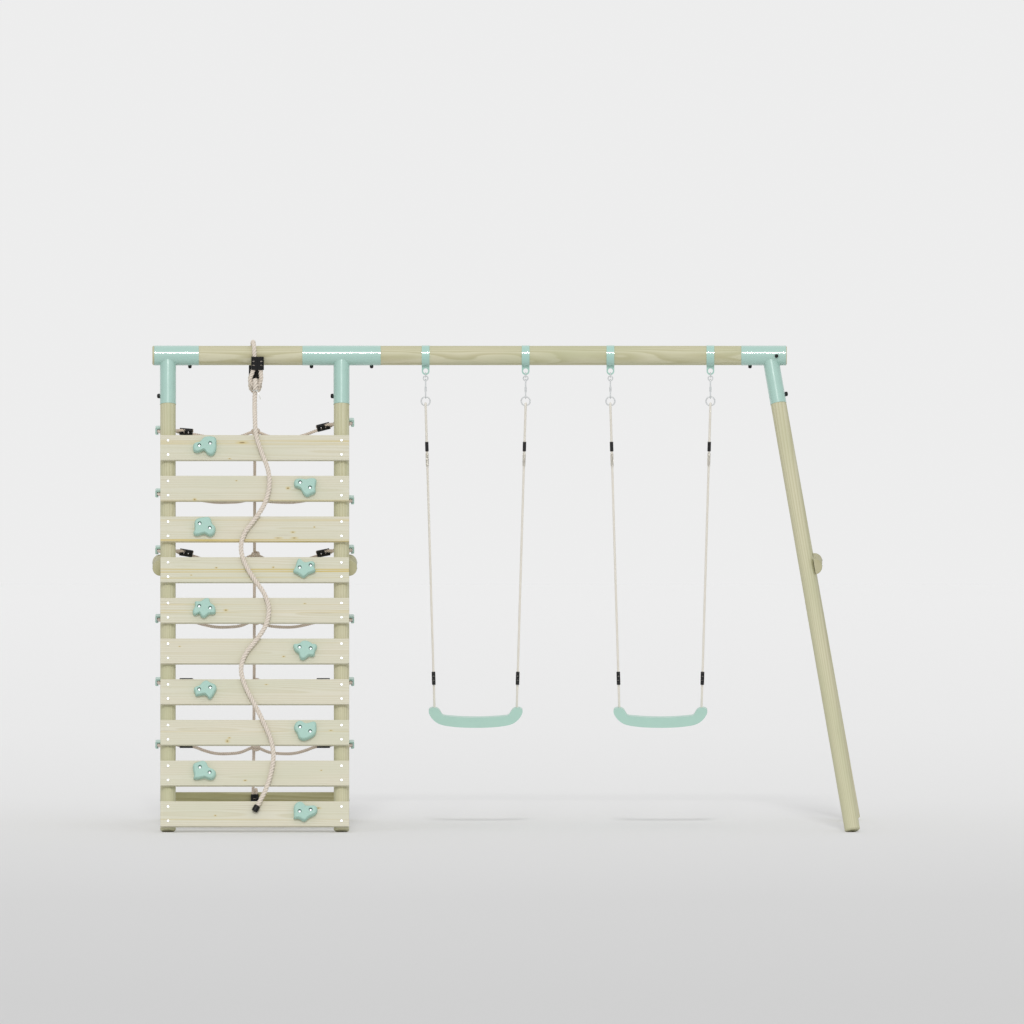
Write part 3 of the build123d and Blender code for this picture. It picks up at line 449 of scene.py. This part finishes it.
def upright_points():
    """Eye through the sling's rear eye, down the net, and round the rear crossbar."""
    y, z = BEAM_Y + SLING_Y, REAR_EYE_Z
    main_x, dead_x = WALL_X - 0.0095, WALL_X + 0.0095
    reach = CROSSBAR_LOOP_R / FIVE_CORNERS
    front = CROSSBAR_Y - CROSSBAR_LOOP_R
    points = [
        (WALL_X, y - 0.013, z - 0.040), (WALL_X, y - 0.022, z - 0.012),
        (WALL_X, y - 0.017, z + 0.020), (WALL_X, y + 0.017, z + 0.020), (WALL_X, y + 0.022, z - 0.014),
        (WALL_X, y + 0.009, z - 0.060), (WALL_X + 0.0005, *UPRIGHT_TOP),
        (main_x + 0.005, *UPRIGHT_BOTTOM), (main_x, front - 0.001, CROSSBAR_Z + 0.072),
    ]
    for i, turn in enumerate((216, 288, 360, 432)):
        along, up = reach * math.cos(math.radians(turn)), reach * math.sin(math.radians(turn))
        points.append((main_x + (dead_x - main_x) * (i + 0.5) / 4.5, CROSSBAR_Y + along, CROSSBAR_Z + up))
    points.append((dead_x, front + 0.002, CROSSBAR_Z + CROSSBAR_LOOP_R * 0.8))
    points.append((dead_x, front, CROSSBAR_Z - 0.028))
    return points


def upright_out(down):
    """How far out from the rear legs' axes the upright rope passes."""
    ends = []
    for y, z in (UPRIGHT_TOP, UPRIGHT_BOTTOM):
        ends.append(((BEAM_Z - z) * COS + (y - BEAM_Y) * SIN, (y - BEAM_Y) * COS - (BEAM_Z - z) * SIN))
    (top_down, top_out), (bottom_down, bottom_out) = ends
    return top_out + (down - top_down) / (bottom_down - top_down) * (bottom_out - top_out)


def row_end(side_x, inward, down, tilt, strand):
    """One strand of a row through its clamp, on the leg's side and the inner side."""
    drop = math.sin(math.radians(tilt))
    reach = (CLAMP_START + CLAMP_LENGTH + 0.004, CLAMP_START - 0.002)
    return [(side_x + inward * r, down + r * drop + strand * STRAND_HALF_GAP, 0) for r in reach]


def row_loop(side_x, inward, down, entering):
    """A row's loop round the rear leg, on four corners of a pentagon."""
    reach = LOOP_R / FIVE_CORNERS
    points = []
    for i, turn in enumerate((-108, -36, 36, 108)):
        across, out = -reach * math.cos(math.radians(turn)), reach * math.sin(math.radians(turn))
        step = entering * STRAND_HALF_GAP * (1 - 2 * (i + 0.5) / 4)
        points.append((side_x + inward * across, down + step, -out * entering))
    return points


def row_points(row):
    """A row from clamp to clamp: loop round the left leg, sag to the upright rope, loop on the right."""
    left, right, low, middle = ROW_LEFT[row], ROW_RIGHT[row], ROW_LOW[row], ROW_MIDDLE[row]
    front = upright_out(middle) - NET_ROPE_D - 0.002
    left_in = row_end(LEFT_X, 1, left, ROW_TILT_LEFT[row], -1)
    left_out = row_end(LEFT_X, 1, left, ROW_TILT_LEFT[row], 1)[::-1]
    right_in = row_end(MIDDLE_X, -1, right, ROW_TILT_RIGHT[row], 1)
    right_out = row_end(MIDDLE_X, -1, right, ROW_TILT_RIGHT[row], -1)[::-1]
    left_end, right_end = left_out[-1][1], right_in[0][1]
    span = [
        (LEFT_X + 0.185, left_end + 0.62 * (low - left_end), 0.15 * front),
        (LEFT_X + 0.250, low + 0.002, 0.35 * front),
        (LEFT_X + 0.318, low - 0.001, 0.55 * front),
        (LEFT_X + 0.378, low - 0.24 * (low - middle), 0.8 * front),
        (WALL_X - 0.016, middle - 0.001, front),
        (WALL_X + 0.016, middle - 0.001, front),
        (MIDDLE_X - 0.378, low - 0.24 * (low - middle), 0.8 * front),
        (MIDDLE_X - 0.318, low - 0.001, 0.55 * front),
        (MIDDLE_X - 0.250, low + 0.002, 0.35 * front),
        (MIDDLE_X - 0.185, right_end + 0.62 * (low - right_end), 0.15 * front),
    ]
    route = left_in + row_loop(LEFT_X, 1, left, -1) + left_out + span
    route += right_in + row_loop(MIDDLE_X, -1, right, 1) + right_out
    return [slope(REAR, *point) for point in route]


def climbing_rope_points():
    """Eye through the sling's front eye, down to the wall, and waves over the boards."""
    y, z = BEAM_Y - SLING_Y, EYE_Z
    head = [
        (EYE_X, y + 0.016, z - 0.042), (EYE_X, y + 0.028, z - 0.014),
        (EYE_X, y + 0.022, z + 0.021), (EYE_X, y - 0.022, z + 0.021), (EYE_X, y - 0.031, z - 0.008),
        (EYE_X - 0.003, y - 0.022, z - 0.058), (WALL_X, y - 0.060, z - 0.128),
    ]
    tops = [slope(FRONT, WALL_X + 0.001, 0.352, CLIMB_OUT + 0.004)]
    waves = [slope(FRONT, WALL_X + across / 1000, down / 1000, CLIMB_OUT) for across, down in CLIMB_WAVES]
    return head + tops + waves


def swing_rope_points(top_x, seat_x):
    """Tail, eye over the link's ring, and straight down into the seat."""
    top_z, bottom_z = 2.1836, 0.6161

    def at(z, forward=0.0):
        share = (top_z - z) / (top_z - bottom_z)
        return (top_x + share * (seat_x - top_x), BEAM_Y + forward, z)

    return [
        at(1.872, 0.007), at(1.945, 0.0066), at(2.050, 0.008), at(2.110, 0.0125), at(2.160, 0.013),
        at(2.192, 0.0105), at(2.1961, -0.002), at(2.187, -0.0125), at(2.150, -0.0135),
        at(2.105, -0.012), at(2.040, -0.0066), at(1.930, -0.0064), at(1.840, -0.002),
        at(1.700, 0.0005), at(0.592, 0.0),
    ]


# ---- ropes --------------------------------------------------------------------
natural = fibres("natural_rope", srgb(240, 231, 219), srgb(226, 213, 198), 0.05, 0.45)
net_fibre = fibres("net_rope", srgb(230, 217, 203), srgb(212, 196, 180), 0.032, 0.4)
white = fibres("white_rope", srgb(247, 243, 234), srgb(236, 230, 218), 0.024, 0.3)

# At 45 degrees the sling and the climbing rope come so near that neither is drawn thicker than its
# CAD tube.
rope("beam_sling", beam_sling_points(), SLING_D, natural, "frame", "natural_rope", fullness=0.495)
rope("net_upright_rope", upright_points(), NET_ROPE_D, net_fibre, "frame", "natural_rope")
for row in range(len(ROW_LEFT)):
    rope(f"net_row_rope_{row + 1}", row_points(row), NET_ROPE_D, net_fibre, "frame", "natural_rope",
         lay="hanging")
rope("climbing_rope", climbing_rope_points(), CLIMB_ROPE_D, natural, "climbing_rope_hanging",
     "natural_rope", far_end="fitting", lay="hanging", ends=["climbing_rope_end_cap"], fullness=0.5)
SWINGS = {"swing_1": -0.163, "swing_2": 0.796}
HALF_AT_TOP, HALF_AT_SEAT = 0.2595, 0.2135
for swing, x in SWINGS.items():
    for hand, sign in (("left", -1), ("right", 1)):
        rope(f"{swing}_{hand}_rope", swing_rope_points(x + sign * HALF_AT_TOP, x + sign * HALF_AT_SEAT),
             SWING_ROPE_D, white, swing, "white_rope")


# ---- knots of the net, cable tie of the climbing rope -------------------------
KNOT_STEPS = 60
KNOT_FROM, KNOT_SWEEP = -0.35 * math.pi, 3.3 * math.pi
KNOT_WIDE, KNOT_DEEP, KNOT_HIGH = 0.0158, 0.0215, 0.024
KNOT_SHIFTS = (0.0012, -0.0015, 0.0008)


def knot(row):
    """The row's extra turn and a half round the upright rope, drawn tight."""
    middle = ROW_MIDDLE[row] + KNOT_SHIFTS[row % 3]
    centre_out = upright_out(ROW_MIDDLE[row]) - NET_ROPE_D / 2 - 0.001
    line = []
    for i in range(KNOT_STEPS + 1):
        share = i / KNOT_STEPS
        turn = KNOT_FROM + share * KNOT_SWEEP
        swell = 1 + 0.06 * math.sin(2 * turn + row)
        x = WALL_X + 0.0035 + KNOT_WIDE * swell * math.sin(turn)
        down = middle + (share - 0.5) * KNOT_HIGH + 0.002 * math.cos(turn)
        line.append(slope(REAR, x, down, centre_out - KNOT_DEEP * math.cos(turn)))
    rope_mesh(f"net_knot_{row + 1}", np.array(line), NET_ROPE_D, net_fibre, "frame", "natural_rope")


for row in range(len(ROW_LEFT)):
    knot(row)

LOCK_HALF = (0.004, 0.0025, 0.004)
LOCK_ASIDE, LOCK_FORWARD = 0.006, 0.001
TAIL_HALF_WIDTH, TAIL_HALF_TIP, TAIL_THICK = 0.0022, 0.0009, 0.0011


def belt(name, centre, half_x, half_y, height, thick, tail, material, body):
    """Flat cable tie round two strands, its lock at the front and a curved tail."""
    outline, sides = [], 40
    for i in range(sides):
        turn = 2 * math.pi * i / sides
        c, k = math.cos(turn), math.sin(turn)
        outline.append((abs(c) ** 0.7 * math.copysign(1, c), abs(k) ** 0.7 * math.copysign(1, k)))
    vertices, faces = [], []
    for grow, z in ((0, -1), (thick, -0.8), (thick, 0.8), (0, 1)):
        for x, y in outline:
            vertices.append((centre[0] + x * (half_x + grow), centre[1] + y * (half_y + grow),
                             centre[2] + z * height / 2))
    for ring in range(4):
        for i in range(sides):
            j, upper = (i + 1) % sides, (ring + 1) % 4
            faces.append((ring * sides + i, ring * sides + j, upper * sides + j, upper * sides + i))
    base = len(vertices)
    front = centre[1] - half_y - thick
    for z, wide in ((-1, 1), (1, 0.8)):
        for x, y in ((-1, -1), (1, -1), (1, 1), (-1, 1)):
            vertices.append((centre[0] + LOCK_ASIDE + x * wide * LOCK_HALF[0],
                             front - LOCK_FORWARD + y * LOCK_HALF[1], centre[2] + z * LOCK_HALF[2]))
    for face in ((3, 2, 1, 0), (4, 5, 6, 7), (0, 1, 5, 4), (1, 2, 6, 5), (2, 3, 7, 6), (3, 0, 4, 7)):
        faces.append(tuple(base + corner for corner in face))
    base = len(vertices)
    for i, (x, y, z) in enumerate(tail):
        half = TAIL_HALF_WIDTH if i < len(tail) - 1 else TAIL_HALF_TIP
        for across, deep in ((-1, 0), (1, 0), (1, 1), (-1, 1)):
            vertices.append((centre[0] + x + across * half, front + y + deep * TAIL_THICK, centre[2] + z))
    for i in range(len(tail) - 1):
        for k in range(4):
            j = (k + 1) % 4
            faces.append((base + 4 * i + k, base + 4 * i + j, base + 4 * i + 4 + j, base + 4 * i + 4 + k))
    faces.append((base + 3, base + 2, base + 1, base))
    end = base + 4 * (len(tail) - 1)
    faces.append((end, end + 1, end + 2, end + 3))
    return add_mesh(name, vertices, faces, material, body, smooth=False)


tie_skin = plastic("tie_plastic", srgb(226, 226, 220), 0.28, 300.0, 0.0001, Transmission_Weight=0.4)
TAIL = tuple((LOCK_ASIDE + 0.020 * math.sin(t), -0.003 - 0.012 * math.sin(t), 0.002 - 0.048 * t / 1.5)
             for t in (0, 0.2, 0.4, 0.6, 0.8, 1.0, 1.2, 1.4, 1.5))
belt("climbing_rope_tie", (EYE_X, BEAM_Y - SLING_Y - 0.003, 2.2660), half_x=0.0145, half_y=0.0385,
     height=0.0055, thick=0.0014, tail=TAIL, material=tie_skin, body="climbing_rope_hanging")


# ---- surfaces of the CAD pieces -----------------------------------------------
def paint(node, material):
    """Give a CAD node one material of its own."""
    slots = NODES[node].data.materials
    slots.clear()
    slots.append(material)


def leg_axis(side, lean):
    """Direction down a leg that leans sideways by lean for each metre of height."""
    return Vector((lean, side * math.tan(math.radians(17)), -1)).normalized()


paint("top_beam", wood("beam_wood", (0, BEAM_Y, BEAM_Z), (1, 0, 0), (0, 0, 1),
                       dict(LOG, pith=(-0.016, 0.018, 0.006), wander=0.075, contrast=0.7), 1))
A_FRAMES = (("left", LEFT_X, 0), ("middle", MIDDLE_X, 0), ("right", RIGHT_X, RIGHT_LEAN))
for number, (name, x, lean) in enumerate(A_FRAMES):
    for side, place in ((FRONT, "front"), (REAR, "rear")):
        paint(f"{name}_{place}_leg", wood(f"{name}_{place}_wood", (x, BEAM_Y, BEAM_Z), leg_axis(side, lean),
                                          (1, 0, 0), LOG, 2 + number * 2 + side))
# Painted shade: the rear crossbar lies in the shade behind the lowest boards, so its wood is painted darker
# and more olive than the legs'. The braces take the same painted shade with a lighter light tone.
SHADED_LOG = dict(LOG, light=srgb(184, 179, 140), dark=srgb(148, 140, 92), stain=srgb(158, 158, 112))
paint("rear_crossbar", wood("crossbar_wood", (WALL_X, CROSSBAR_Y, CROSSBAR_Z), (1, 0, 0), (0, 0, 1),
                            SHADED_LOG, 9))
paint("leg_braces", wood("brace_wood", (0, BEAM_Y, 1.355), (0, 1, 0), (0, 0, 1),
                         dict(SHADED_LOG, light=srgb(200, 196, 166)), 10))

UP = Vector((0, SIN, COS))
BOARD_KNOTS = {
    0: ((-0.065, 0.026, 0.006, 4.5), (-0.130, -0.060, 0.003, 2.5)),
    1: ((-0.312, -0.060, 0.006, 1.4), (0.172, 0.000, 0.007, 1.5), (-0.095, 0.040, 0.003, 2.0)),
    2: ((0.197, -0.018, 0.005, 2.2), (0.309, 0.010, 0.004, 1.2), (0.122, -0.049, 0.004, 5.0),
        (0.205, -0.049, 0.005, 3.5)),
    3: ((-0.200, 0.010, 0.004, 1.8), (0.096, 0.012, 0.0045, 1.4), (-0.330, -0.030, 0.003, 2.0)),
    4: ((-0.150, 0.000, 0.006, 1.8), (0.260, 0.036, 0.003, 2.5)),
    5: ((0.150, -0.030, 0.004, 2.0), (-0.390, 0.024, 0.003, 2.2)),
    6: ((0.060, 0.038, 0.003, 3.0),),
    7: ((-0.142, -0.047, 0.009, 1.1), (-0.132, -0.030, 0.004, 2.0), (0.395, 0.010, 0.003, 3.0)),
    8: ((-0.050, -0.040, 0.004, 2.2), (0.345, 0.014, 0.003, 2.0)),
    9: ((0.330, 0.030, 0.005, 2.4), (-0.205, -0.010, 0.004, 1.6)),
}
BOARD_BANDS = {
    0: ((0.020, 0.050, 0.5),),
    1: ((-0.066, -0.052, 0.4),),
    2: ((-0.067, -0.044, 1.0), (0.048, 0.064, 0.4)),
    3: ((-0.010, 0.016, 1.0), (-0.041, -0.031, 0.7)),
    4: ((-0.008, 0.010, 0.6), (0.034, 0.044, 0.6)),
    5: ((0.050, 0.060, 0.4),),
    7: ((0.008, 0.016, 0.4),),
    9: ((-0.030, -0.020, 0.5),),
}
BOARDS, BOARD_MIDDLE = 10, 0.054
for k in range(BOARDS):
    centre = slope(FRONT, WALL_X, FIRST_BOARD_AT + k * BOARD_PITCH, BOARD_MIDDLE)
    look = dict(BOARD, pith=(0.02 - 0.011 * (k % 4), -0.075 + 0.01 * (k % 3), 0.012 - 0.008 * (k % 3)))
    paint(f"wall_board_{k + 1:02d}", wood(f"board_{k + 1}_wood", centre, (1, 0, 0), UP, look, 11 + k,
                                          BOARD_KNOTS[k], BOARD_BANDS.get(k, ())))

mint = enamel("mint_enamel", srgb(170, 205, 194), 0.30)
strap_mint = enamel("strap_enamel", srgb(168, 207, 195), 0.36)
hold_skin = plastic("hold_plastic", srgb(172, 207, 195), 0.62, 700.0, 0.0009, 0.35, srgb(150, 188, 176))
seat_skin = plastic("seat_plastic", srgb(174, 209, 196), 0.36, 900.0, 0.0002)
black = plastic("black_plastic", srgb(12, 12, 13), 0.44, 800.0, 0.0003, Specular_IOR_Level=0.3)
steel = zinc("zinc_steel")
for bracket in ("left_bracket", "middle_bracket", "right_bracket", "net_clips"):
    paint(bracket, mint)
paint("hanger_straps", strap_mint)
for k in range(BOARDS):
    paint(f"climbing_hold_{k + 1:02d}", hold_skin)
pale_zinc = plastic("pale_zinc", srgb(226, 230, 231), 0.34, 500.0, 0.0002, 0.25, srgb(176, 180, 182),
                    Metallic=0.35)
for node in ("wood_screws", "hold_bolts"):
    paint(node, pale_zinc)
for node in ("bracket_bolts", "swing_1_hangers", "swing_2_hangers"):
    paint(node, steel)
for node in ("bolt_caps", "rope_clamps", "climbing_rope_end_cap"):
    paint(node, black)
SLEEVE_LOW, SLEEVE_HIGH = 1.8685, 1.9372
fitting = sleeved_plastic("fitting_plastic", SLEEVE_LOW, SLEEVE_HIGH)
for node in ("swing_1_rope_fittings", "swing_2_rope_fittings"):
    paint(node, fitting)
for node in ("swing_1_seat", "swing_2_seat"):
    paint(node, seat_skin)

# ---- floor and light ----------------------------------------------------------
FLOOR_HALF_WIDTH, FLOOR_NEAR, FLOOR_FAR = 70, -60, 30
FLOOR_TONE = 0.675
# Painted light: from one depth to another the paper turns to a lighter tone, a painted falloff of the
# studio light that leaves the floor darkest in front.
FLOOR_PAINTED_LIGHT_RAMPS = ((-22.0, -9.0, 0.712), (-9.0, -3.0, 0.763), (-3.0, 3.5, 0.834), (3.5, 12.0, 0.880),
               (12.0, 28.0, 0.915))
g = new_material("floor_paper")
depth = g.component(g.place(), 1)
grain = g.noise(g.place(), 30.0, 2.0)
tone = (FLOOR_TONE, FLOOR_TONE, FLOOR_TONE, 1)
for start, end, value in FLOOR_PAINTED_LIGHT_RAMPS:
    tone = g.mix(g.remap(depth, start, end), tone, (value, value, value, 1))
paper = g.finish(Base_Color=tone, Roughness=g.remap(grain, 0.3, 0.7, 0.85, 0.95), Specular_IOR_Level=0.1)
floor_mesh = bpy.data.meshes.new("floor")
floor_mesh.from_pydata([(x, y, 0) for x, y in (
    (-FLOOR_HALF_WIDTH, FLOOR_NEAR), (FLOOR_HALF_WIDTH, FLOOR_NEAR),
    (FLOOR_HALF_WIDTH, FLOOR_FAR), (-FLOOR_HALF_WIDTH, FLOOR_FAR))], [], [(0, 1, 2, 3)])
floor_mesh.materials.append(paper)
floor = bpy.data.objects.new("floor", floor_mesh)
scene.collection.objects.link(floor)

# The world is brightest before and behind the frame, then overhead, and dimmest at the sides.
studio = Graph(bpy.data.worlds.new("studio"))
direction = studio.node("TexCoord").outputs["Generated"]
before_behind = studio.math("POWER", studio.math("ABSOLUTE", studio.component(direction, 1)), 1.2)
overhead = studio.math("POWER", studio.math("MAXIMUM", studio.component(direction, 2), 0.0), 1.5)
level = studio.math("MULTIPLY_ADD", overhead, 0.35, studio.math("MULTIPLY_ADD", before_behind, 0.43, 0.42))
background = studio.fill(studio.node("Background"), Color=(1, 1, 1, 1), Strength=level)
studio.put(studio.node("OutputWorld").inputs["Surface"], background.outputs[0])
scene.world = studio.owner

KEY_WAY = Vector((0.02, 0.824, -0.566))
key = bpy.data.objects.new("key", bpy.data.lights.new("key", "SUN"))
key.data.energy = 0.82
key.data.angle = math.radians(7)
key.rotation_euler = KEY_WAY.to_track_quat("-Z", "Y").to_euler()
scene.collection.objects.link(key)
